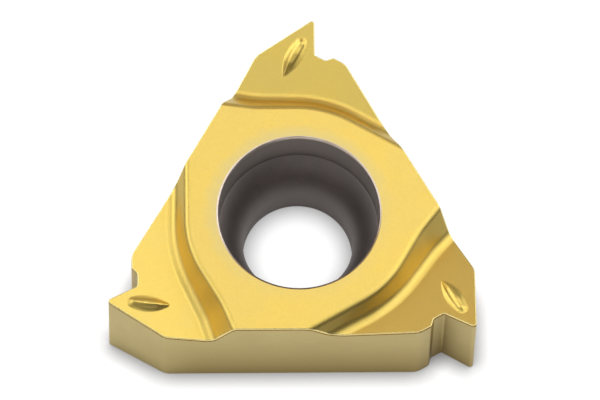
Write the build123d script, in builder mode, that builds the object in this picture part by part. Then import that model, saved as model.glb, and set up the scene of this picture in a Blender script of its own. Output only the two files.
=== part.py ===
from build123d import *
from math import acos, cos, degrees, radians, sin, tan
import os

os.makedirs("parts", exist_ok=True)

# Laydown threading insert: one pressed, sintered and ground plate of cemented carbide.
# Origin: the hole axis on the flat underside. +Z: up, out of the screw head recess.
# The three corners are alike, and each is worked out as the one that points along +Y.
# Lengths are millimetres and angles are degrees.

# Plate
inscribed_circle = 6.35
thickness = 3.1
corner_count = 3

# Thread tooth: full profile, for one pitch
thread_angle = 60
thread_pitch = 1.25
tooth_to_side = 0.87
apex_setback = 0.58
nose_radius = 0.08
root_radius = 0.07

# Shoulder on the far side of the thread crest, standing proud of it
shoulder_rise = 0.15
shoulder_ramp = 45
step_radius = 0.09
side_edge_radius = 0.5

# Rake face, lowest towards the hole, with the tooth apex a little under the land
apex_drop = 0.16
rake_angle = 13.2
rake_heading = 53

# Chip-breaker groove: an S-curved wall from the rake face up to the land
wall_distance = 2.92
wall_slope = 58
wall_bend = 30
wall_bend_across = 0.68
wall_bend_radius = 2.8
wall_sweep = 8
wall_sweep_across = -1.1
wall_sweep_radius = 2.4
wall_foot_radius = 0.3
land_edge_radius = 0.2

# Leaf-shaped boss on the rake face, in line with the tooth
boss_from_apex = 0.56
boss_length = 1.18
boss_height = 0.085
boss_end_radius = 0.165
boss_bulge = 21
crest_end_radius = 0.05
crest_bulge = 4
crest_bend = 12
crest_inset = 0.125

# Screw hole: head recess, bell mouth and bore
recess_diameter = 4.08
rim_chamfer = 0.06
mouth_radius = 1.45
bore_diameter = 2.8
bore_length = 0.75
bore_edge_break = 0.05

# Edge treatment, how far cutters reach past what they cut, and when two positions count as one
cutting_edge_hone = 0.03
cut_margin = 1.0
tolerance = 0.0001

# Worked out from the sizes above
side_distance = inscribed_circle / 2
side_heading = 180 / corner_count
corner_pitch = 360 / corner_count
corner_reach = side_distance / cos(radians(side_heading))
apex_along = side_distance * tan(radians(side_heading)) - apex_setback
half_angle = radians(thread_angle / 2)
crest_flat = thread_pitch / 4
tooth_height = (thread_pitch - crest_flat) / 2 / tan(half_angle)
land_plane = Plane.XY.offset(thickness)


def tooth_point(across, along):
    """Plan point given in the tooth's own directions; its axis is parallel to the side near it."""
    turn = radians(side_heading)
    return Vector(
        across * sin(turn) + along * cos(turn),
        along * sin(turn) - across * cos(turn),
    )


def on_plane(edge, plane):
    """True where both ends and the middle of an edge lie on a plane."""
    return all(abs(plane.to_local_coords(edge @ part).Z) < tolerance for part in (0, 0.5, 1))


def upright_faces(solid):
    """Faces whose normal is level."""
    return solid.faces().filter_by(lambda face: abs(face.normal_at().Z) < tolerance)


# Corner outline, from the side near the tooth, over the tooth and the shoulder, to the next side
apex_across = tooth_to_side - side_distance
root_across = apex_across + tooth_height * tan(half_angle)
root_along = apex_along - tooth_height
crest_end_across = root_across + crest_flat
shoulder_across = crest_end_across + shoulder_rise / tan(radians(shoulder_ramp))
shoulder_along = root_along + shoulder_rise
next_side = radians(corner_pitch - 90)
shoulder_end = (side_distance - shoulder_along * cos(next_side)) / sin(next_side)
corner_outline = [
    (tooth_point(shoulder_end, shoulder_along), side_edge_radius),
    (tooth_point(shoulder_across, shoulder_along), step_radius),
    (tooth_point(crest_end_across, root_along), step_radius),
    (tooth_point(root_across, root_along), root_radius),
    (tooth_point(apex_across, apex_along), nose_radius),
    (
        tooth_point(-side_distance, apex_along - tooth_to_side / tan(half_angle)),
        side_edge_radius,
    ),
]
outline_points = []
outline_radii = []
for corner in range(corner_count):
    for point, radius in corner_outline:
        outline_points.append(point.rotate(Axis.Z, corner * corner_pitch))
        outline_radii.append(radius)

# Rake face plane through the sharp apex, its Y in line with the tooth
apex = tooth_point(apex_across, apex_along)
rake_normal = Vector(0, 0, 1).rotate(Axis.Y, -rake_angle).rotate(Axis.Z, rake_heading)
rake_plane = Plane(
    origin=(apex.X, apex.Y, thickness - apex_drop),
    x_dir=tooth_point(0, 1).cross(rake_normal),
    z_dir=rake_normal,
)

# Removed corner: open outwards, the S-curved wall behind it and the rake face under it
cut_reach = corner_reach + cut_margin
cut_half_width = side_distance + cut_margin
wall_start = wall_distance + (cut_half_width + wall_sweep_across) * tan(radians(wall_sweep))
wall_end = wall_distance - (cut_half_width - wall_bend_across) * tan(radians(wall_bend))
with BuildPart() as sunk_corner:
    with BuildSketch(land_plane):
        with BuildLine():
            wall_line = FilletPolyline(
                (-cut_half_width, wall_start),
                (wall_sweep_across, wall_distance),
                (wall_bend_across, wall_distance),
                (cut_half_width, wall_end),
                radius=[wall_sweep_radius, wall_bend_radius],
            )
            Polyline(
                wall_line @ 1,
                (cut_half_width, cut_reach),
                (-cut_half_width, cut_reach),
                wall_line @ 0,
            )
        make_face()
    extrude(amount=-thickness)
    wall_faces = sunk_corner.faces().filter_by(lambda face: face.normal_at().Y < -tolerance)
    draft(wall_faces, land_plane, wall_slope - 90)
    split(bisect_by=rake_plane, keep=Keep.TOP)
    foot_edges = (
        sunk_corner.edges()
        .filter_by(lambda edge: on_plane(edge, rake_plane))
        .filter_by(lambda edge: not on_plane(edge, land_plane))
        .filter_by(lambda edge: abs((edge @ 0.5).X) < cut_half_width - tolerance)
    )
    fillet(foot_edges, wall_foot_radius)

# Leaf-shaped boss, lofted from its foot on the rake face to a narrow crest bent to the long flank
with BuildPart() as boss:
    boss_start = -boss_from_apex - boss_length
    for height, inset, end_radius, bulge, bend in (
        (0, 0, boss_end_radius, boss_bulge, 0),
        (boss_height, crest_inset, crest_end_radius, crest_bulge, crest_bend),
    ):
        with BuildSketch(rake_plane.offset(height)):
            with BuildLine():
                tip = (0, boss_start + inset)
                round_end = CenterArc(
                    (0, -boss_from_apex - inset - end_radius),
                    end_radius,
                    bulge - bend,
                    180 - 2 * bulge,
                )
                TangentArc(round_end @ 1, tip, tangent=round_end % 1)
                TangentArc(round_end @ 0, tip, tangent=(round_end % 0) * -1)
            make_face()
    loft(ruled=True)

# Screw hole, turned round its axis
recess_radius = recess_diameter / 2
bore_radius = bore_diameter / 2
mouth_turn = degrees(acos(1 - (recess_radius - bore_radius) / mouth_radius))
with BuildPart() as screw_hole:
    with BuildSketch(Plane.XZ):
        with BuildLine():
            mouth = JernArc(
                (bore_radius, bore_length), (0, 1), mouth_radius, -mouth_turn
            )
            Polyline(
                mouth @ 1,
                (recess_radius, thickness - rim_chamfer),
                (recess_radius + rim_chamfer, thickness),
                (0, thickness),
                (0, 0),
                (bore_radius + bore_edge_break, 0),
                (bore_radius, bore_edge_break),
                mouth @ 0,
            )
        make_face()
    revolve(axis=Axis.Z)

# The insert
with BuildPart() as insert:
    with BuildSketch():
        with BuildLine():
            FilletPolyline(*outline_points, radius=outline_radii, close=True)
        make_face()
    extrude(amount=thickness)
    with PolarLocations(0, corner_count):
        add(sunk_corner.part, mode=Mode.SUBTRACT)
    land_rim = insert.edges().filter_by(lambda edge: on_plane(edge, land_plane))
    fillet(land_rim - upright_faces(insert).edges(), land_edge_radius)
    outline_edges = upright_faces(insert).edges().filter_by(Axis.Z, reverse=True)
    fillet(
        outline_edges.filter_by(lambda edge: not on_plane(edge, Plane.XY)),
        cutting_edge_hone,
    )
    with PolarLocations(0, corner_count):
        add(boss.part)
    add(screw_hole.part, mode=Mode.SUBTRACT)

insert.part.label = "insert"
export_step(insert.part, "parts/insert.step")
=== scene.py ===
import math

import bpy
import numpy as np
from mathutils import Matrix, Vector
from mathutils.geometry import delaunay_2d_cdt


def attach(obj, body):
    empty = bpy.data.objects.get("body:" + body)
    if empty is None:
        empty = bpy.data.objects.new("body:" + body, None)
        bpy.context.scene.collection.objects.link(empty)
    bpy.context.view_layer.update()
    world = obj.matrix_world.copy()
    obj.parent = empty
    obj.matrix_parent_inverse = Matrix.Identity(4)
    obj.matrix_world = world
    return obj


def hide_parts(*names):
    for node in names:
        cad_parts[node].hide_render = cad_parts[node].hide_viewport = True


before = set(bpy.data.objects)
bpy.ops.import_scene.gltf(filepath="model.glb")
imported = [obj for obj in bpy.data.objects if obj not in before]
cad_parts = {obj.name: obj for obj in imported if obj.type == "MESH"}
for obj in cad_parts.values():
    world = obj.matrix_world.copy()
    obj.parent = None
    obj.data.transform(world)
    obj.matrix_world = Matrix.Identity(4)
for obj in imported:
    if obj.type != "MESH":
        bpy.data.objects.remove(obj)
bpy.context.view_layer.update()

# Laydown threading insert in the CAD's frame: the hole axis on the flat underside, +Z up.
# The three corners are alike, and each is worked out as the one that points along +Y.
# Lengths are millimetres, and the mesh, the lamps and the camera turn them into metres.
MM = 0.001
CORNER_COUNT = 3
CORNER_PITCH = 360 / CORNER_COUNT

# Plate and thread tooth, with a shoulder that rises at 45 degrees
INSCRIBED_CIRCLE = 6.35
SIDE = INSCRIBED_CIRCLE / 2
THICK = 3.1
THREAD_PITCH = 1.25
HALF_ANGLE = math.radians(30)
TOOTH_TO_SIDE = 0.87
APEX_SETBACK = 0.58
SHOULDER_RISE = 0.15
NOSE_R, ROOT_R, STEP_R, SIDE_R = 0.08, 0.07, 0.09, 0.5

# Rake face and chip-breaker groove. The groove's wall runs straight between its sweep and its bend.
APEX_DROP = 0.16
RAKE_ANGLE, RAKE_HEADING = math.radians(13.2), math.radians(53)
WALL_Y = 2.92
WALL_SLOPE = math.radians(58)
SWEEP, SWEEP_X, SWEEP_R = math.radians(8), -1.1, 2.4
BEND, BEND_X, BEND_R = math.radians(30), 0.68, 2.8
WALL_REACH = SIDE + 1
FOOT_R, LAND_R = 0.3, 0.2

# Edges of the outline: cutting edge, the painted shade line under it, broken edge at the base
HONE = 0.03
PAINTED_SHADE_LINE_WIDTH = 0.05
BASE_BREAK = 0.02

# Screw hole: head recess with a rounded rim, bell mouth, bore with a broken edge
RECESS_R, RIM_R = 2.04, 0.06
MOUTH_R = 1.45
BORE_R, BORE_LENGTH, BORE_BREAK = 1.4, 0.75, 0.05

# Leaf-shaped boss: its foot, and the crest strip that its ridge runs along
LEAF_BACK, LEAF_LENGTH = 0.56, 1.18
LEAF_END_R, LEAF_BULGE = 0.165, 21
CREST_INSET, CREST_END_R, CREST_BULGE, CREST_BEND = 0.125, 0.05, 4, 12

# Ridge: its height, its place across the crest strip, where it stops short of the round end, and
# how it sinks towards the tip and that end, each as a length and the share of the height left
RIDGE_HEIGHT, RIDGE_PLACE, RIDGE_STOP = 0.112, 0.78, 0.2
TIP_FALL, TIP_HEIGHT = 0.45, 0.15
END_FALL, END_HEIGHT = 0.3, 0.75

# Flanks, as shares of the way up: where they level off, how steep their foot is, the steeper
# band in them, and how much of that band the near and the far flank have
FLANK_END, FLANK_FOOT = 0.92, 0.5
BAND_START, BAND_WIDTH = 0.445, 0.25
BAND_NEAR, BAND_FAR = 0.055, 0.18
RIDGE_BLEND = 0.1

# Mesh: how far apart its points are, and how many steps its curves take
OUTLINE_SPACING, ARC_SPACING, FEWEST_ARC_STEPS = 0.045, 0.012, 4
GROOVE_SPACING = 0.032
LEAF_SPACING = 0.016
RAKE_SPACING, LAND_SPACING = 0.12, 0.22
HONE_STEPS, WALL_STEPS, BREAK_STEPS = 6, 6, 3
HOLE_STEPS, RIM_STEPS, RECESS_STEPS, MOUTH_STEPS, BORE_STEPS = 240, 6, 5, 28, 4
CAP_STEPS, FLANK_STEPS, RIDGE_STEPS = 24, 40, 39
NORMAL_STEP = 0.0008

# How far out a corner's form starts, and how often the search for its leaf's height goes round
CORNER_START = 1.0
LIFT_ROUNDS = 4

# Mesh: the parts of a corner that have points of their own, and the gaps left between them
CORNER_LOW, CORNER_HIGH = (-2.6, 1.0), (2.9, 5.6)
GROOVE_START, GROOVE_END, RAKE_START = -0.16, 0.95, 1.0
LEAF_MARGIN, LEAF_GAP = 1.15, 0.03
LAND_REACH, LAND_GAP = 3.2, 0.2
OUTLINE_GAP, RIM_GAP, LAND_RIM_GAP = 0.018, 0.02, 0.05
MOUTH_GAP = 0.015
BLOCK = 4000

# Numbers for a search: more than any distance here, and as good as nothing
FAR_AWAY, TINY = 1e9, 1e-9

# The tooth's own directions: along it, and across it, away from the side near it
HALF_TURN = math.radians(180 / CORNER_COUNT)
ALONG = np.array([math.cos(HALF_TURN), math.sin(HALF_TURN)])
ACROSS = np.array([math.sin(HALF_TURN), -math.cos(HALF_TURN)])


def tooth_point(across, along):
    """Plan point given in the tooth's own directions."""
    return across * ACROSS + along * ALONG


def turned(points, degrees):
    """Plan points turned round the hole axis."""
    c, s = math.cos(math.radians(degrees)), math.sin(math.radians(degrees))
    return points @ np.array([[c, s], [-s, c]])


def unit(v):
    """Vector of length 1."""
    return v / np.linalg.norm(v)


def units(rows):
    """Rows of vectors, each made 1 long."""
    return rows / np.linalg.norm(rows, axis=1)[:, None]


def left_of(v):
    """Plan vector turned a quarter to the left."""
    return np.array([-v[1], v[0]])


def circle_points(angles):
    """Plan points of the unit circle at these angles."""
    return np.stack([np.cos(angles), np.sin(angles)], 1)


def ramp(value, start, length):
    """Share of a length that a value has passed, from 0 to 1."""
    return np.clip((value - start) / length, 0, 1)


def smooth(share):
    """Share from 0 to 1 that leaves both ends gently."""
    return share * share * (3 - 2 * share)


# Outline
CREST_FLAT = THREAD_PITCH / 4
TOOTH_HEIGHT = (THREAD_PITCH - CREST_FLAT) / 2 / math.tan(HALF_ANGLE)
APEX_ALONG = SIDE * math.tan(HALF_TURN) - APEX_SETBACK
APEX_ACROSS = TOOTH_TO_SIDE - SIDE
ROOT_ACROSS = APEX_ACROSS + TOOTH_HEIGHT * math.tan(HALF_ANGLE)
ROOT_ALONG = APEX_ALONG - TOOTH_HEIGHT
CREST_END = ROOT_ACROSS + CREST_FLAT
SHOULDER_ALONG = ROOT_ALONG + SHOULDER_RISE
NEXT_SIDE = math.radians(CORNER_PITCH - 90)
SHOULDER_END = (SIDE - SHOULDER_ALONG * math.cos(NEXT_SIDE)) / math.sin(NEXT_SIDE)
CORNER = [
    (tooth_point(SHOULDER_END, SHOULDER_ALONG), SIDE_R),
    (tooth_point(CREST_END + SHOULDER_RISE, SHOULDER_ALONG), STEP_R),
    (tooth_point(CREST_END, ROOT_ALONG), STEP_R),
    (tooth_point(ROOT_ACROSS, ROOT_ALONG), ROOT_R),
    (tooth_point(APEX_ACROSS, APEX_ALONG), NOSE_R),
    (tooth_point(-SIDE, APEX_ALONG - TOOTH_TO_SIDE / math.tan(HALF_ANGLE)), SIDE_R),
]


def rounding(before, here, after, radius):
    """A line's rounded bend: its directions in and out, turn, setback, side and arc centre."""
    t0, t1 = unit(here - before), unit(after - here)
    turn = math.atan2(t0[0] * t1[1] - t0[1] * t1[0], t0 @ t1)
    back = radius * math.tan(abs(turn) / 2)
    side = 1 if turn > 0 else -1
    centre = here - t0 * back + side * radius * left_of(t0)
    return t0, t1, turn, back, side, centre


def rounded_ring(corners):
    """Points and outward normals round a closed outline with a radius at each corner."""
    count = len(corners)
    arcs = []
    for i in range(count):
        here, radius = corners[i]
        after = corners[(i + 1) % count][0]
        t0, _, turn, _, side, centre = rounding(corners[i - 1][0], here, after, radius)
        steps = max(FEWEST_ARC_STEPS, math.ceil(abs(turn) * radius / ARC_SPACING))
        points, normals = [], []
        for k in range(steps + 1):
            c, s = math.cos(turn * k / steps), math.sin(turn * k / steps)
            tangent = c * t0 + s * left_of(t0)
            normals.append(-left_of(tangent))
            points.append(centre + side * radius * normals[-1])
        arcs.append((points, normals))
    ring, out = [], []
    for i, (points, normals) in enumerate(arcs):
        ring += points
        out += normals
        start, end = points[-1], arcs[(i + 1) % count][0][0]
        steps = max(1, round(np.linalg.norm(end - start) / OUTLINE_SPACING))
        for k in range(1, steps):
            ring.append(start + (end - start) * k / steps)
            out.append(normals[-1])
    return np.array(ring), np.array(out)


# Top line of the groove's wall, and how far places are from it
WALL_POINTS = [
    np.array([-WALL_REACH, WALL_Y + (WALL_REACH + SWEEP_X) * math.tan(SWEEP)]),
    np.array([SWEEP_X, WALL_Y]),
    np.array([BEND_X, WALL_Y]),
    np.array([WALL_REACH, WALL_Y - (WALL_REACH - BEND_X) * math.tan(BEND)]),
]


def wall_parts():
    """The groove wall's top line as straight parts and arcs, from left to right."""
    parts, start = [], WALL_POINTS[0]
    for i, radius in enumerate((SWEEP_R, BEND_R)):
        before, here, after = WALL_POINTS[i:i + 3]
        t0, t1, _, back, side, centre = rounding(before, here, after, radius)
        a, b = here - t0 * back, here + t1 * back
        parts.append(("line", start, a, t0))
        parts.append(("arc", a, b, t0, t1, centre, radius, side))
        start = b
    parts.append(("line", start, WALL_POINTS[-1], unit(WALL_POINTS[-1] - start)))
    return parts


WALL_PARTS = wall_parts()


def wall_distance(p):
    """Distance outward from the wall's top line, and the outward direction there."""
    best = np.full(len(p), FAR_AWAY)
    heading = np.zeros((len(p), 2))
    for index, part in enumerate(WALL_PARTS):
        if part[0] == "line":
            _, a, b, t = part
            d = (p - a) @ left_of(t)
            s = (p - a) @ t
            valid = np.ones(len(p), bool)
            if index > 0:
                valid &= s >= -TINY
            if index < len(WALL_PARTS) - 1:
                valid &= s <= np.linalg.norm(b - a) + TINY
            direction = np.broadcast_to(left_of(t), p.shape)
        else:
            _, a, b, t0, t1, centre, radius, side = part
            v = p - centre
            far = np.maximum(np.linalg.norm(v, axis=1), TINY)
            direction = -side * v / far[:, None]
            d = side * (radius - far)
            valid = ((p - a) @ t0 >= 0) & ((p - b) @ t1 <= 0)
        better = valid & (np.abs(d) < np.abs(best))
        best = np.where(better, d, best)
        heading[better] = direction[better]
    return best, heading


# Rake face
RAKE_NORMAL = np.array([
    -math.sin(RAKE_ANGLE) * math.cos(RAKE_HEADING),
    -math.sin(RAKE_ANGLE) * math.sin(RAKE_HEADING),
    math.cos(RAKE_ANGLE),
])
RAKE_SLOPE = -RAKE_NORMAL[:2] / RAKE_NORMAL[2]
RAKE_ORIGIN = np.array([*tooth_point(APEX_ACROSS, APEX_ALONG), THICK - APEX_DROP])
RAKE_X = unit(np.cross(np.array([*ALONG, 0.0]), RAKE_NORMAL))
RAKE_Y = np.cross(RAKE_NORMAL, RAKE_X)


def rake_height(p):
    """Height of the rake face's plane over plan points."""
    return RAKE_ORIGIN[2] + (p - RAKE_ORIGIN[:2]) @ RAKE_SLOPE


def rake_uv(p, z):
    """Points in the rake face's own directions, from its apex."""
    v = np.concatenate([p, z[:, None]], 1) - RAKE_ORIGIN
    return np.stack([v @ RAKE_X, v @ RAKE_Y], 1)


def on_rake(p):
    """Plan points dropped on the rake face, in its own directions."""
    return rake_uv(p, rake_height(p))


# Leaf-shaped boss
def tangent_arc(start, tangent, end, steps):
    """Points of the arc that leaves start along tangent and reaches end."""
    chord = end - start
    n = left_of(tangent)
    radius = (chord @ chord) / (2 * (chord @ n))
    centre = start + n * radius
    a0 = math.atan2(*(start - centre)[::-1])
    a1 = math.atan2(*(end - centre)[::-1])
    sweep = (a1 - a0) % math.copysign(2 * math.pi, radius)
    return centre + abs(radius) * circle_points(a0 + sweep * np.linspace(0, 1, steps + 1))


def leaf(inset, end_radius, bulge, bend):
    """Closed outline of the leaf in the rake face's directions: round end, left side, right side."""
    centre = np.array([0, -LEAF_BACK - inset - end_radius])
    tip = np.array([0, -LEAF_BACK - LEAF_LENGTH + inset])
    cap_angles = np.radians(np.linspace(bulge - bend, 180 - bulge - bend, CAP_STEPS + 1))
    spokes = circle_points(cap_angles)
    cap = centre + end_radius * spokes
    left = tangent_arc(cap[-1], left_of(spokes[-1]), tip, FLANK_STEPS)
    right = tangent_arc(cap[0], -left_of(spokes[0]), tip, FLANK_STEPS)
    return np.concatenate([cap, left[1:], right[1:-1][::-1]])


FOOT_LINE = leaf(0, LEAF_END_R, LEAF_BULGE, 0)
CREST_LINE = leaf(CREST_INSET, CREST_END_R, CREST_BULGE, CREST_BEND)


def ridge_line():
    """Ridge of the leaf, from the tip to short of the round end, between the crest strip's sides."""
    tip = CAP_STEPS + FLANK_STEPS
    left = CREST_LINE[CAP_STEPS:tip + 1][::-1]
    right = np.concatenate([CREST_LINE[tip:], CREST_LINE[:1]])
    y = np.linspace(CREST_LINE[tip, 1], -LEAF_BACK - RIDGE_STOP, RIDGE_STEPS + 1)
    x0, x1 = np.interp(y, left[:, 1], left[:, 0]), np.interp(y, right[:, 1], right[:, 0])
    return np.stack([x0 + RIDGE_PLACE * (x1 - x0), y], 1)


RIDGE_LINE = ridge_line()


def inside(p, loop):
    """True for the points inside a closed loop."""
    result = np.zeros(len(p), bool)
    x, y = p[:, 0], p[:, 1]
    for a, b in zip(loop, np.roll(loop, -1, axis=0)):
        if a[1] != b[1]:
            crosses = (a[1] > y) != (b[1] > y)
            result ^= crosses & (x < (b[0] - a[0]) * (y - a[1]) / (b[1] - a[1]) + a[0])
    return result


def line_distance(p, line, closed=False):
    """Distance from each point to a chain of straight pieces."""
    best = np.full(len(p), FAR_AWAY)
    ends = np.roll(line, -1, axis=0)
    for a, b in zip(line[: None if closed else -1], ends):
        ab = b - a
        t = np.clip(((p - a) @ ab) / (ab @ ab), 0, 1)
        best = np.minimum(best, np.linalg.norm(p - a - t[:, None] * ab, axis=1))
    return best


def leaf_rise(uv):
    """Height of the leaf above the rake face, given places on that face."""
    rise = np.zeros(len(uv))
    within = inside(uv, FOOT_LINE)
    if within.any():
        q = uv[within]
        foot, ridge = line_distance(q, FOOT_LINE, closed=True), line_distance(q, RIDGE_LINE)
        share = np.minimum(foot / np.maximum(FLANK_END * (foot + ridge), TINY), 1)
        curved = share * share * (2 - share)
        plain = FLANK_FOOT * share + (1 - FLANK_FOOT) * curved
        band = smooth(ramp(share, BAND_START, BAND_WIDTH))
        ridge_x = np.interp(q[:, 1], RIDGE_LINE[:, 1], RIDGE_LINE[:, 0])
        far_side = ramp(q[:, 0], ridge_x - RIDGE_BLEND / 2, RIDGE_BLEND)
        flank = plain + (BAND_NEAR + (BAND_FAR - BAND_NEAR) * far_side) * (band - plain)
        from_tip = smooth(ramp(q[:, 1], -LEAF_BACK - LEAF_LENGTH, TIP_FALL))
        from_end = smooth(ramp(-q[:, 1], LEAF_BACK + RIDGE_STOP, END_FALL))
        top = RIDGE_HEIGHT * (TIP_HEIGHT + (1 - TIP_HEIGHT) * from_tip)
        rise[within] = top * (END_HEIGHT + (1 - END_HEIGHT) * from_end) * flank
    return rise


# Height of the top face
def corner_height(p):
    """Height of the top face for the corner that points along +Y."""
    d, heading = wall_distance(p)
    slope = math.tan(WALL_SLOPE)
    edge = LAND_R * math.tan(WALL_SLOPE / 2)
    z = np.where(d < -edge, THICK, THICK - slope * d)
    on_edge = (d >= -edge) & (d < edge * math.cos(WALL_SLOPE))
    rounded = THICK - LAND_R + np.sqrt(np.maximum(LAND_R**2 - (d + edge) ** 2, 0))
    z = np.where(on_edge, rounded, z)

    # The wall meets the rake face, which rises by climb straight away from it, in a rounded foot
    rake = rake_height(p)
    climb = heading @ RAKE_SLOPE
    meeting = (THICK - rake + climb * d) / (slope + climb)
    angle = np.arctan(climb)
    back = FOOT_R * np.tan((angle + WALL_SLOPE) / 2)
    foot_start = meeting - back * math.cos(WALL_SLOPE)
    foot_end = meeting + back * np.cos(angle)
    middle = foot_start + FOOT_R * math.sin(WALL_SLOPE)
    centre = THICK - slope * foot_start + FOOT_R * math.cos(WALL_SLOPE)
    foot = centre - np.sqrt(np.maximum(FOOT_R**2 - (d - middle) ** 2, 0))
    z = np.where(d >= foot_start, foot, z)
    floor = d >= foot_end
    z = np.where(floor, rake, z)
    if floor.any():
        z[floor] += leaf_lift(p[floor], rake[floor])
    return z


def leaf_lift(p, rake):
    """Height straight up from the rake face to the leaf, found round by round."""
    lift = np.zeros(len(p))
    for _ in range(LIFT_ROUNDS):
        lift = leaf_rise(rake_uv(p, rake + lift)) / RAKE_NORMAL[2]
    return lift


def top_height(p):
    """Height of the top face: the land, lowered at the three corners."""
    z = np.full(len(p), THICK)
    for n in range(CORNER_COUNT):
        local = turned(p, -CORNER_PITCH * n)
        near = local[:, 1] > CORNER_START
        if near.any():
            z[near] = np.minimum(z[near], corner_height(local[near]))
    return z


def top_normal(p):
    """Normal of the top face, from its height a step to each side."""
    x, y = np.array([NORMAL_STEP, 0.0]), np.array([0.0, NORMAL_STEP])
    gx = (top_height(p + x) - top_height(p - x)) / (2 * NORMAL_STEP)
    gy = (top_height(p + y) - top_height(p - y)) / (2 * NORMAL_STEP)
    return units(np.stack([-gx, -gy, np.ones(len(p))], 1))


# Mesh
vertices, normals, faces, slots = [], [], [], []
COAT, EDGE, PAINTED_SHADE_LINE, GROUND, RIM, HOLE, BASE = range(7)


def add_points(points, z, normal):
    """Adds vertices at plan points and heights, and gives the index of the first one."""
    first = len(vertices)
    for (px, py), pz, n in zip(points, z, normal):
        vertices.append((px, py, pz))
        normals.append(tuple(n))
    return first


def bridge(upper, lower, count, slot, outward=True):
    """Band of quads between two rings of vertices."""
    for i in range(count):
        j = (i + 1) % count
        quad = (upper + i, lower + i, lower + j, upper + j)
        faces.append(quad if outward else quad[::-1])
        slots.append(slot)


def side_rings(points, outward):
    """Sides from the cutting edge to the base. Gives the first vertex of the top and base rings."""
    count = len(points)
    level = np.concatenate([outward, np.zeros((count, 1))], 1)
    rings = []
    for k in range(HONE_STEPS + 1):
        a = math.pi / 2 * k / HONE_STEPS
        at = points - outward * HONE * (1 - math.sin(a))
        z = top_height(at) - HONE * (1 - math.cos(a))
        rings.append(add_points(at, z, units(top_normal(at) * math.cos(a) + level * math.sin(a))))
        if k:
            slot = EDGE if k < HONE_STEPS else PAINTED_SHADE_LINE
            bridge(rings[-2], rings[-1], count, slot)

    # The top band of the sides, under the hone, carries a painted shade line
    wall_top = z - PAINTED_SHADE_LINE_WIDTH
    for k in range(WALL_STEPS + 1):
        z = wall_top + (BASE_BREAK - wall_top) * k / WALL_STEPS
        rings.append(add_points(points, z, level))
        bridge(rings[-2], rings[-1], count, GROUND if k else PAINTED_SHADE_LINE)

    down = np.array([0, 0, -1.0])
    for k in range(1, BREAK_STEPS + 1):
        a = math.pi / 2 * k / BREAK_STEPS
        at = points - outward * BASE_BREAK * (1 - math.cos(a))
        z = np.full(count, BASE_BREAK * (1 - math.sin(a)))
        rings.append(add_points(at, z, level * math.cos(a) + down * math.sin(a)))
        bridge(rings[-2], rings[-1], count, BASE)
    return rings[0], rings[-1]


def hole_profile():
    """Down the hole: radius, height, and the normal's parts outward and up."""
    profile = []
    for k in range(RIM_STEPS + 1):
        c, s = math.cos(math.pi / 2 * k / RIM_STEPS), math.sin(math.pi / 2 * k / RIM_STEPS)
        profile.append((RECESS_R + RIM_R * (1 - s), THICK - RIM_R * (1 - c), -s, c))
    mouth_turn = math.acos(1 - (RECESS_R - BORE_R) / MOUTH_R)
    mouth_top = BORE_LENGTH + MOUTH_R * math.sin(mouth_turn)
    for k in range(1, RECESS_STEPS):
        z = THICK - RIM_R + (mouth_top - THICK + RIM_R) * k / RECESS_STEPS
        profile.append((RECESS_R, z, -1, 0))
    profile.append((RECESS_R, mouth_top + MOUTH_GAP, -1, 0))
    for k in range(MOUTH_STEPS + 1):
        a = mouth_turn * (1 - k / MOUTH_STEPS)
        c, s = math.cos(a), math.sin(a)
        profile.append((BORE_R + MOUTH_R * (1 - c), BORE_LENGTH + MOUTH_R * s, -c, s))
    for k in range(1, BORE_STEPS + 1):
        z = BORE_LENGTH + (BORE_BREAK - BORE_LENGTH) * k / BORE_STEPS
        profile.append((BORE_R, z, -1, 0))
    for k in range(1, BORE_STEPS + 1):
        c, s = math.cos(math.pi / 2 * k / BORE_STEPS), math.sin(math.pi / 2 * k / BORE_STEPS)
        profile.append((BORE_R + BORE_BREAK * (1 - c), BORE_BREAK * (1 - s), -c, -s))
    return profile


def hole_rings():
    """The turned hole. Gives the first vertex of its upper and lower rings."""
    spokes = circle_points(np.arange(HOLE_STEPS) * 2 * math.pi / HOLE_STEPS)
    rings = []
    for radius, z, outward, upward in hole_profile():
        normal = np.concatenate([spokes * outward, np.full((HOLE_STEPS, 1), upward)], 1)
        rings.append(add_points(spokes * radius, np.full(HOLE_STEPS, z), normal))
        if len(rings) > 1:
            slot = RIM if len(rings) <= RIM_STEPS + 1 else HOLE
            bridge(rings[-2], rings[-1], HOLE_STEPS, slot, outward=False)
    return rings[0], rings[-1]


def plan_places(indices):
    """Plan points of the vertices with these indices."""
    return np.array([vertices[i][:2] for i in indices])


def fill(outer, inner, points, slot, upward=True):
    """Triangles between an outer loop and a hole's loop of vertices, through the points given."""
    loops = [list(outer), list(inner)]
    index, edges = [], []
    for loop in loops:
        base = len(index)
        edges += [(base + k, base + (k + 1) % len(loop)) for k in range(len(loop))]
        index += loop
    if len(points):
        first = add_points(points, top_height(points), top_normal(points))
        index += range(first, len(vertices))
    flat = [Vector(vertices[i][:2]) for i in index]
    places, _, triangles, sources, _, _ = delaunay_2d_cdt(flat, edges, [], 0, TINY, True)
    triangles = np.array([t for t in triangles if len(t) == 3])
    middle = np.array([tuple(v) for v in places])[triangles].mean(1)
    rim = plan_places(loops[1][:2])
    keep = inside(middle, plan_places(outer))
    keep &= np.linalg.norm(middle, axis=1) > np.linalg.norm(rim.mean(0)) + TINY
    for t in triangles[keep]:
        a, b, c = (index[sources[k][0]] for k in t)
        pa, pb, pc = vertices[a], vertices[b], vertices[c]
        ccw = (pb[0] - pa[0]) * (pc[1] - pa[1]) - (pb[1] - pa[1]) * (pc[0] - pa[0]) > 0
        faces.append((a, b, c) if ccw == upward else (a, c, b))
        slots.append(slot)


def hex_grid(low, high, spacing):
    """Plan points in staggered rows."""
    xs = np.arange(low[0], high[0], spacing)
    rows = []
    for k, y in enumerate(np.arange(low[1], high[1], spacing * math.sqrt(3) / 2)):
        rows.append(np.stack([xs + (k % 2) * spacing / 2, np.full(len(xs), y)], 1))
    return np.concatenate(rows)


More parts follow.
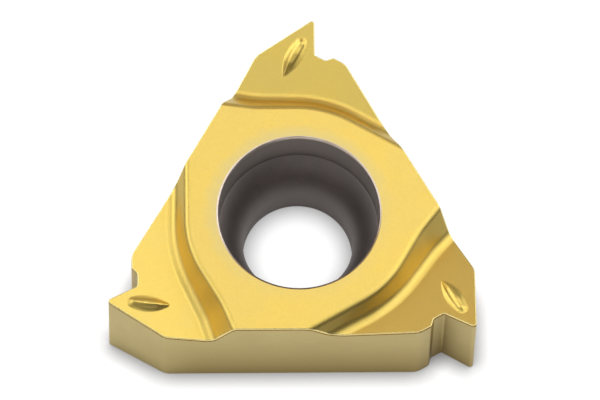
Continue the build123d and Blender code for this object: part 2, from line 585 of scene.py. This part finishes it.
def corner_points():
    """Points inside one corner: dense on the groove and the leaf, sparse on the rake face."""
    wide = FOOT_LINE.mean(0) + (FOOT_LINE - FOOT_LINE.mean(0)) * LEAF_MARGIN
    band = hex_grid(CORNER_LOW, CORNER_HIGH, GROOVE_SPACING)
    d, _ = wall_distance(band)
    band = band[(d > GROOVE_START) & (d < GROOVE_END) & ~inside(on_rake(band), wide)]
    leaf_patch = hex_grid(CORNER_LOW, CORNER_HIGH, LEAF_SPACING)
    leaf_patch = leaf_patch[inside(on_rake(leaf_patch), wide)]
    rest = hex_grid(CORNER_LOW, CORNER_HIGH, RAKE_SPACING)
    d, _ = wall_distance(rest)
    clear = line_distance(on_rake(rest), wide, closed=True) > LEAF_GAP
    rest = rest[(d > RAKE_START) & clear & ~inside(on_rake(rest), wide)]
    points = np.concatenate([band, leaf_patch, rest])
    heading = np.degrees(np.arctan2(points[:, 0], points[:, 1]))
    return points[np.abs(heading) < CORNER_PITCH / 2]


def land_points():
    """Sparse points on the land, clear of the grooves and of the hole."""
    points = hex_grid((-LAND_REACH, -LAND_REACH), (LAND_REACH, LAND_REACH), LAND_SPACING)
    for n in range(CORNER_COUNT):
        d, _ = wall_distance(turned(points, -CORNER_PITCH * n))
        points = points[d < -LAND_GAP]
    return points[np.linalg.norm(points, axis=1) > RECESS_R + RIM_R + LAND_RIM_GAP]


def top_points(outline):
    """Points inside the top face, clear of its outline and of the hole's rim."""
    corner = corner_points()
    corners = [turned(corner, CORNER_PITCH * n) for n in range(CORNER_COUNT)]
    points = np.concatenate(corners + [land_points()])
    points = points[inside(points, outline)]
    points = points[np.linalg.norm(points, axis=1) > RECESS_R + RIM_R + RIM_GAP]
    gaps = [
        np.linalg.norm(block[:, None] - outline[None], axis=2).min(1)
        for block in np.array_split(points, math.ceil(len(points) / BLOCK))
    ]
    return points[np.concatenate(gaps) >= OUTLINE_GAP]


def insert_body():
    """The whole insert as one mesh with its own normals."""
    corners = [(turned(p, CORNER_PITCH * n), r) for n in range(CORNER_COUNT) for p, r in CORNER]
    ring, outward = rounded_ring(corners)
    top, base = side_rings(ring, outward)
    upper, lower = hole_rings()
    edge = range(top, top + len(ring))
    fill(edge, range(upper, upper + HOLE_STEPS), top_points(plan_places(edge)), COAT)
    fill(range(base, base + len(ring)), range(lower, lower + HOLE_STEPS), [], BASE, upward=False)
    mesh = bpy.data.meshes.new("insert_body")
    mesh.from_pydata([(x * MM, y * MM, z * MM) for x, y, z in vertices], [], faces)
    mesh.validate(clean_customdata=False)
    mesh.polygons.foreach_set("material_index", np.array(slots, np.int32))
    mesh.polygons.foreach_set("use_smooth", np.ones(len(faces), bool))
    mesh.normals_split_custom_set_from_vertices(normals)
    return mesh


mesh = insert_body()
insert = bpy.data.objects.new("insert_body", mesh)
bpy.context.scene.collection.objects.link(insert)
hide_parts("insert")
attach(insert, "root")
print("insert_body", len(mesh.vertices), "vertices", sum(len(f) - 2 for f in faces), "triangles")


# Materials
AO_SAMPLES = 8


class Nodes:
    """A node tree, with short names for the shader nodes used here."""

    def __init__(self, tree):
        self.nodes, self.links = tree.nodes, tree.links

    def add(self, kind, **settings):
        """New node with its own settings, such as the operation."""
        node = self.nodes.new("ShaderNode" + kind)
        for name, value in settings.items():
            setattr(node, name, value)
        return node

    def feed(self, socket, value):
        """Gives a socket a plain value, a colour or another node's output."""
        if isinstance(value, bpy.types.NodeSocket):
            self.links.new(value, socket)
        elif socket.type == "RGBA":
            socket.default_value = (*value, 1)
        else:
            socket.default_value = value

    def math(self, operation, a, b=0):
        """Arithmetic on one or two numbers."""
        node = self.add("Math", operation=operation)
        self.feed(node.inputs[0], a)
        self.feed(node.inputs[1], b)
        return node.outputs[0]

    def vector(self, operation, a, b=(0, 0, 0)):
        """Vector arithmetic: MULTIPLY gives a vector, and the other operations a number."""
        node = self.add("VectorMath", operation=operation)
        self.feed(node.inputs[0], a)
        self.feed(node.inputs[1], b)
        return node.outputs["Vector" if operation == "MULTIPLY" else "Value"]

    def span(self, value, low, high, to_low=0.0, to_high=1.0, kind="SMOOTHSTEP"):
        """Maps low..high to to_low..to_high, smoothly or else in a straight line."""
        node = self.add("MapRange", interpolation_type=kind)
        self.feed(node.inputs["Value"], value)
        names = ("From Min", "From Max", "To Min", "To Max")
        for name, number in zip(names, (low, high, to_low, to_high)):
            self.feed(node.inputs[name], number)
        return node.outputs["Result"]

    def mix(self, amount, first, second):
        """Colour between two colours; each is an RGB triple or another node's output."""
        node = self.add("Mix", data_type="RGBA")
        self.feed(node.inputs["Factor"], amount)
        self.feed(node.inputs[6], first)
        self.feed(node.inputs[7], second)
        return node.outputs[2]

    def openness(self, reach, only_local=False):
        """1 in the open and less where something stands near, within this reach in metres."""
        node = self.add("AmbientOcclusion", samples=AO_SAMPLES, only_local=only_local)
        self.feed(node.inputs["Distance"], reach)
        return node.outputs["AO"]


class Shading(Nodes):
    """One material's nodes. Lengths are millimetres."""

    def __init__(self, name, metallic):
        self.material = bpy.data.materials.new(name)
        self.material.use_nodes = True
        super().__init__(self.material.node_tree)
        self.shader = self.nodes["Principled BSDF"]
        self.feed(self.shader.inputs["Metallic"], metallic)
        metres = self.add("TexCoord").outputs["Object"]
        self.place = self.vector("MULTIPLY", metres, (1 / MM, 1 / MM, 1 / MM))

    def noise(self, scale, detail=2.0, stretch=(1, 1, 1), roughness=0.5):
        """Noise in 0 to 1, with this many features a millimetre."""
        mapping = self.add("Mapping")
        self.feed(mapping.inputs["Scale"], stretch)
        self.feed(mapping.inputs["Vector"], self.place)
        node = self.add("TexNoise")
        self.feed(node.inputs["Scale"], scale)
        self.feed(node.inputs["Detail"], detail)
        self.feed(node.inputs["Roughness"], roughness)
        self.feed(node.inputs["Vector"], mapping.outputs[0])
        return node.outputs["Fac"]

    def radius(self):
        """Distance from the hole axis."""
        return self.vector("LENGTH", self.vector("MULTIPLY", self.place, (1, 1, 0)))

    def toward(self, x, y, z=0):
        """How far the place lies in this direction."""
        return self.vector("DOT_PRODUCT", self.place, (x, y, z))

    def height(self):
        """Height above the underside."""
        return self.toward(0, 0, 1)

    def level(self):
        """1 where the surface lies level, 0 where it stands upright."""
        normal = self.add("NewGeometry").outputs["Normal"]
        return self.vector("DOT_PRODUCT", normal, (0, 0, 1))

    def bump(self, value, depth):
        """Bumps up to this many millimetres deep."""
        node = self.add("Bump")
        self.feed(node.inputs["Strength"], 1)
        self.feed(node.inputs["Distance"], depth * MM)
        self.feed(node.inputs["Height"], value)
        self.feed(self.shader.inputs["Normal"], node.outputs[0])

    def finish(self, color, roughness):
        """Gives the shader its colour and roughness, and hands over the material."""
        self.feed(self.shader.inputs["Base Color"], color)
        self.feed(self.shader.inputs["Roughness"], roughness)
        return self.material


def coating():
    """Satin gold: cloudy at large scale, grainy at small scale, paler by the hole's rim, and with
    painted shade on steep faces.
    """
    gold, pale_gold = (0.975, 0.712, 0.16), (0.935, 0.70, 0.18)
    dark_grain, bright_grain = (0.84, 0.625, 0.15), (1.0, 0.86, 0.44)
    painted_slope_shade, pale_coat_and_painted_highlight = (0.74, 0.55, 0.16), (0.76, 0.65, 0.30)
    s = Shading("coat", 1)
    cloud = s.span(s.noise(0.8, 3), 0.3, 0.7)
    grain = s.noise(26, 2, roughness=0.7)
    color = s.mix(cloud, gold, pale_gold)
    color = s.mix(s.span(grain, 0.3, 0.7, 0, 0.5), color, dark_grain)
    color = s.mix(s.span(grain, 0.62, 0.8, 0, 0.3), color, bright_grain)
    reach = s.math("ADD", s.radius(), s.math("MULTIPLY", s.noise(2.5, 3), -0.35))
    fade = s.math("MULTIPLY", s.span(reach, 1.9, 2.35, 0.65, 0), s.span(s.height(), 2.8, 3.05))
    fade = s.math("MULTIPLY", fade, s.span(s.toward(-0.5, 0.87), -2, 1.5, 0.3, 1))
    # Painted shade: steep faces, such as the groove walls, are darker in their colour
    color = s.mix(s.span(s.level(), 0.7, 0.95, 0.75, 0), color, painted_slope_shade)
    color = s.mix(fade, color, pale_coat_and_painted_highlight)
    s.bump(grain, 0.0012)
    satin = s.span(grain, 0.2, 0.8, 0.30, 0.40)
    return s.finish(color, s.math("ADD", satin, s.span(s.level(), 0.55, 0.8, 0.06, 0)))


def cutting_edge(name, metallic, specular, first, second, roughness):
    """Polished edge, or the narrow line of painted shade under it: uneven along its length."""
    s = Shading(name, metallic)
    s.feed(s.shader.inputs["Specular IOR Level"], specular)
    wear = s.span(s.noise(4, 3), 0.35, 0.65)
    return s.finish(s.mix(wear, first, second), s.span(wear, 0, 1, roughness, roughness - 0.05))


def ground_side(name, first, second, low=None):
    """Ground face: lines along the wheel's travel. Given a low tone, it gets painted shade: darker
    towards the base, and in the notches.
    """
    painted_notch_shade, notch_reach = (0.20, 0.13, 0.03), 1.2
    s = Shading(name, 1)
    lines = s.noise(6, 3, (1, 1, 7), 0.65)
    grain = s.noise(24, 2, roughness=0.7)
    both = s.math("ADD", s.math("MULTIPLY", lines, 0.5), s.math("MULTIPLY", grain, 0.5))
    cloud = s.span(s.noise(0.9, 2), 0.3, 0.7)
    color = s.mix(s.span(both, 0.3, 0.7), s.mix(cloud, first, second), second)
    # Painted shade: darker towards the base, less so at the left end, and darkest in the notches'
    # inner corners
    if low:
        to_right = s.span(s.toward(1, 0), -4.4, -2.2, 0.1, 1)
        painted_base_shade_amount = s.math("MULTIPLY", s.span(s.height(), 0, THICK, 1, 0), to_right)
        color = s.mix(painted_base_shade_amount, color, low)
        notch = s.span(s.openness(notch_reach * MM, only_local=True), 0.3, 0.95, 1, 0)
        shade = s.math("MULTIPLY", notch, s.span(s.height(), 0, THICK, 1, 0.55))
        color = s.mix(shade, color, painted_notch_shade)
    s.bump(both, 0.0015)
    return s.finish(color, s.span(both, 0.2, 0.8, 0.32, 0.45))


def hole_wall():
    """Sintered wall, left uncoated and dark, with painted shade at the sides of the bell mouth."""
    s = Shading("hole", 0.85)
    grain = s.noise(20, 3, roughness=0.7)
    cloud = s.span(s.noise(1.2, 2), 0.3, 0.7)
    color = s.mix(cloud, (0.26, 0.222, 0.208), (0.23, 0.20, 0.19))
    color = s.mix(s.span(grain, 0.45, 0.75, 0, 0.4), color, (0.36, 0.31, 0.29))
    color = s.mix(s.span(s.height(), 1.8, 2.2, 0, 0.7), color, (0.38, 0.33, 0.30))
    # Painted shade: darker at the left and right sides of the bell mouth
    above, below = s.span(s.height(), 1.0, 1.8), s.span(s.height(), 1.9, 2.0, 1, 0)
    aside = s.span(s.math("ABSOLUTE", s.toward(1, 0)), 0.7, 1.7, 0, 0.6)
    shade = s.math("MULTIPLY", s.math("MULTIPLY", above, below), aside)
    color = s.mix(shade, color, (0.13, 0.115, 0.108))
    s.bump(grain, 0.002)
    return s.finish(color, s.span(grain, 0.2, 0.8, 0.46, 0.58))


def hole_rim():
    """Broken edge where the coating thins out: dark, with a painted highlight on one side."""
    s = Shading("rim", 1)
    thin = s.span(s.noise(3, 3), 0.3, 0.7)
    dark = s.mix(thin, (0.22, 0.15, 0.09), (0.34, 0.24, 0.15))
    painted_highlight = s.mix(thin, (0.78, 0.65, 0.53), (0.88, 0.77, 0.67))
    # Painted highlight over the rim, fading out towards its front
    pale_coat_and_painted_highlight = s.span(s.toward(-0.2, 0.98), -1.3, -0.1)
    return s.finish(s.mix(pale_coat_and_painted_highlight, dark, painted_highlight), s.span(thin, 0, 1, 0.3, 0.4))


# In the order of the mesh's slots, COAT to BASE
for material in (
    coating(),
    cutting_edge("edge", 0.9, 0.3, (1.0, 0.84, 0.34), (1.0, 0.88, 0.42), 0.25),
    # Dull dark brown without shine: a painted shade line under the cutting edge
    cutting_edge("painted_shade_line", 0, 0, (0.36, 0.16, 0.005), (0.46, 0.21, 0.01), 0.45),
    # Its third colour is the painted shade towards the base
    ground_side("ground", (0.70, 0.57, 0.235), (0.62, 0.50, 0.20), (0.46, 0.34, 0.105)),
    hole_rim(),
    hole_wall(),
    ground_side("base", (0.84, 0.66, 0.22), (0.74, 0.58, 0.20)),
):
    mesh.materials.append(material)

# Floor. It glows white for the camera. Metal mirrors it duller the further off it is, and black
# round one spot at the front right. What stands on it leaves a contact shade, which has a reach
# and a depth of its own inside the bore.
FLOOR_HALF_WIDTH, FLOOR_DROP = 1000, 0.01
REFLECTED_FLOOR, FAR_FLOOR, BRIGHT_FLOOR, DARK_FLOOR = 0.45, 0.2, 7, 30
DIM_SPOT, DIM_START, DIM_END = (19, -23, 0), 10, 23
CONTACT_REACH, CONTACT_DEPTH = 0.5, 1.5
BORE_CONTACT_REACH, BORE_CONTACT_DEPTH = 0.55, 1.0
MATT_FLOOR, MATT_UNDER_GLOW, FLOOR_GLOW = 0.85, (0.22, 0.22, 0.22), (0.95, 0.95, 0.95)


def white_floor():
    """Pale matt floor. It shows white, with the contact shade of what stands on it."""
    s = Shading("floor", 0)
    reach = s.vector("LENGTH", s.place)
    fall = s.span(reach, BRIGHT_FLOOR, DARK_FLOOR, REFLECTED_FLOOR, REFLECTED_FLOOR * FAR_FLOOR)
    dim = s.span(s.vector("DISTANCE", s.place, DIM_SPOT), DIM_START, DIM_END)
    reflected = s.math("MULTIPLY", fall, dim)
    path = s.add("LightPath").outputs
    shown = s.math("MAXIMUM", path["Is Camera Ray"], path["Is Transmission Ray"])
    seen = s.math("MAXIMUM", shown, s.math("MULTIPLY", path["Is Glossy Ray"], reflected))
    bore_edge = BORE_R, BORE_R + BORE_BREAK
    contact_reach = s.span(reach, *bore_edge, BORE_CONTACT_REACH * MM, CONTACT_REACH * MM, "LINEAR")
    depth = s.span(reach, *bore_edge, BORE_CONTACT_DEPTH, CONTACT_DEPTH, "LINEAR")
    contact = s.math("POWER", s.openness(contact_reach), depth)
    glow = s.add("Emission")
    s.feed(glow.inputs["Color"], FLOOR_GLOW)
    s.feed(glow.inputs["Strength"], s.math("MULTIPLY", contact, seen))
    matt = s.add("BsdfDiffuse")
    tone = s.math("DIVIDE", reflected, REFLECTED_FLOOR / MATT_FLOOR)
    s.feed(matt.inputs["Color"], s.mix(seen, tone, MATT_UNDER_GLOW))
    both = s.add("AddShader")
    s.feed(both.inputs[0], glow.outputs[0])
    s.feed(both.inputs[1], matt.outputs[0])
    s.feed(s.nodes["Material Output"].inputs["Surface"], both.outputs[0])
    s.nodes.remove(s.shader)
    return s.material


floor_mesh = bpy.data.meshes.new("floor")
w = FLOOR_HALF_WIDTH * MM
floor_mesh.from_pydata([(-w, -w, 0), (w, -w, 0), (w, w, 0), (-w, w, 0)], [], [(0, 1, 2, 3)])
floor_mesh.materials.append(white_floor())
floor = bpy.data.objects.new("floor", floor_mesh)
floor.location.z = -FLOOR_DROP * MM
bpy.context.scene.collection.objects.link(floor)

# Light: a dim room, which the camera sees as white, and softboxes all round
ROOM, SHOWN_ROOM = (0.05, 0.05, 0.052), (1, 1, 1)
LAMP_SIZE, LAMP_DISTANCE = 340, 500

world = bpy.data.worlds.new("studio")
bpy.context.scene.world = world
world.use_nodes = True
studio = Nodes(world.node_tree)
for_camera = studio.add("LightPath").outputs["Is Camera Ray"]
studio.feed(studio.nodes["Background"].inputs["Color"], studio.mix(for_camera, ROOM, SHOWN_ROOM))


def direction(azimuth, elevation):
    """Direction away from the insert: heading 0 is the front and 90 the right, in degrees."""
    a, e = math.radians(azimuth), math.radians(elevation)
    return Vector((math.sin(a) * math.cos(e), -math.cos(a) * math.cos(e), math.sin(e)))


def softbox(azimuth, elevation, watts, color=(1, 1, 1)):
    """Square lamp that faces the insert from this direction."""
    data = bpy.data.lights.new("softbox", "AREA")
    data.size = LAMP_SIZE * MM
    data.energy = watts
    data.color = color
    lamp = bpy.data.objects.new("softbox", data)
    lamp.location = direction(azimuth, elevation) * LAMP_DISTANCE * MM
    lamp.rotation_mode = "QUATERNION"
    lamp.rotation_quaternion = direction(azimuth, elevation).to_track_quat("Z", "Y")
    bpy.context.scene.collection.objects.link(lamp)


# Heading, height and watts of each softbox. The last is a faint warm one behind.
for azimuth, elevation, watts in (
    (180, 68, 0.312), (180, 15, 0.12),
    (135, 55, 0.115), (135, 28, 0.37), (-135, 55, 0.045), (-135, 25, 0.60),
    (-90, 60, 0.205), (-90, 35, 0.335), (-90, 10, 0.09),
    (90, 62, 0.32), (90, 35, 0.25), (90, 10, 0.056), (112, 15, 0.3),
    (0, 12, 0.45), (-15, 62, 0.08), (-40, 12, 0.34), (55, 50, 0.04),
):
    softbox(azimuth, elevation, watts)
softbox(180, 43, 0.04, (1, 0.2, 0.08))

# Camera, as it stood for the photo: far off, with a long lens
YAW, ELEVATION, ROLL = -2.668, 68.057, math.radians(2.119)
AIM, DISTANCE = (0.088, 1.586, 0), 216.806
NEAR_CLIP, FAR_CLIP = 10, 10000
SENSOR_WIDTH, FOCAL_PIXELS, PHOTO_PIXELS = 36, 8414.856, 600


def photo_camera():
    """Camera of the photo, turned by its roll about the line of sight."""
    back, right = direction(YAW, ELEVATION), direction(YAW + 90, 0)
    up = back.cross(right)
    c, s = math.cos(ROLL), math.sin(ROLL)
    axes = Matrix((right * c + up * s, up * c - right * s, back)).transposed()
    data = bpy.data.cameras.new("camera")
    data.sensor_width = SENSOR_WIDTH
    data.lens = SENSOR_WIDTH * FOCAL_PIXELS / PHOTO_PIXELS
    data.clip_start, data.clip_end = NEAR_CLIP * MM, FAR_CLIP * MM
    camera = bpy.data.objects.new("camera", data)
    spot = (Vector(AIM) + back * DISTANCE) * MM
    camera.matrix_world = Matrix.Translation(spot) @ axes.to_4x4()
    bpy.context.scene.collection.objects.link(camera)
    return camera


bpy.context.scene.camera = photo_camera()
bpy.context.scene.view_settings.view_transform = "Standard"
